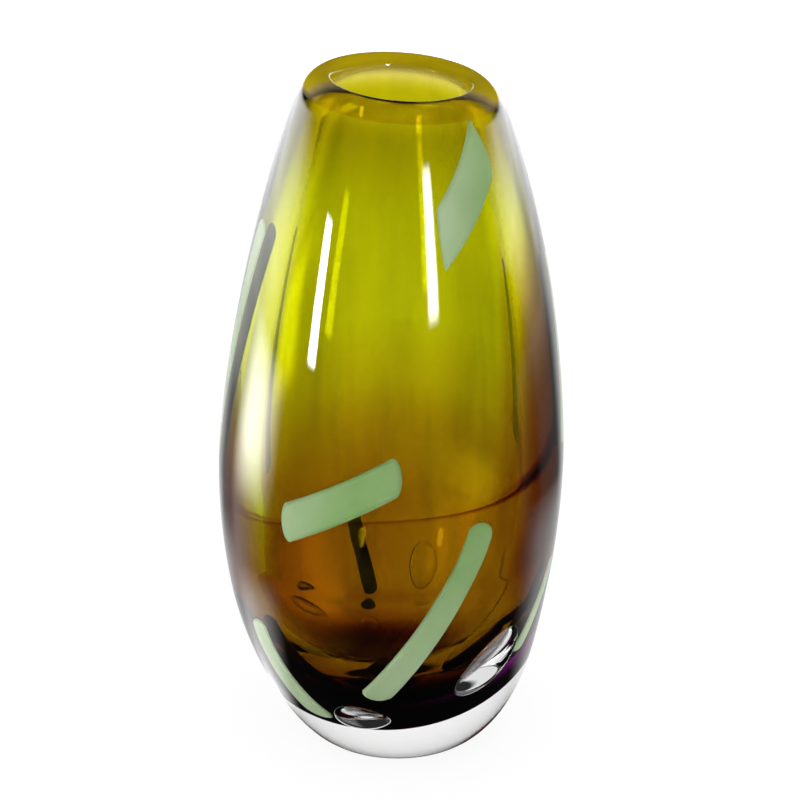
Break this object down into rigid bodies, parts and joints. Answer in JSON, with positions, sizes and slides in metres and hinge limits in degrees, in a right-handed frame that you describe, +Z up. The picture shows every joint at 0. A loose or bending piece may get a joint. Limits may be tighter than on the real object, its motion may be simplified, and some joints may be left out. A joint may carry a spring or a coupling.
{
  "type": "graal glass vase",
  "caption": "Heavy ovoid cased-glass vase with a narrow tilted lip, an olive bowl in an indigo cup, mint inlays and trapped bubbles, and a thick clear base.",
  "frame": {"origin": "centre of the foot's bounding box on the surface that the vase stands on", "axes": "+Z up through the mouth; the front, as pictured, faces -Y; +X is to its right"},
  "size_m": [0.1242, 0.1242, 0.2517],
  "materials": {
    "clear_glass": "clear, fire polished, ground foot",
    "olive_glass": "transparent olive green, fire polished",
    "indigo_glass": "transparent deep indigo",
    "mint_glass": "opaque pale mint green, under clear glass"
  },
  "bodies": {
    "root": {"clear_casing": "clear_glass", "olive_core": "olive_glass", "indigo_cup": "indigo_glass", "mint_bar_front_level": "mint_glass", "mint_bar_front_long": "mint_glass", "mint_bar_low_left": "mint_glass", "mint_bar_upper_right": "mint_glass", "mint_bar_left_side": "mint_glass", "mint_bar_right_side": "mint_glass", "mint_bar_right_low": "mint_glass", "mint_bar_back_low": "mint_glass"}
  },
  "joints": []
}
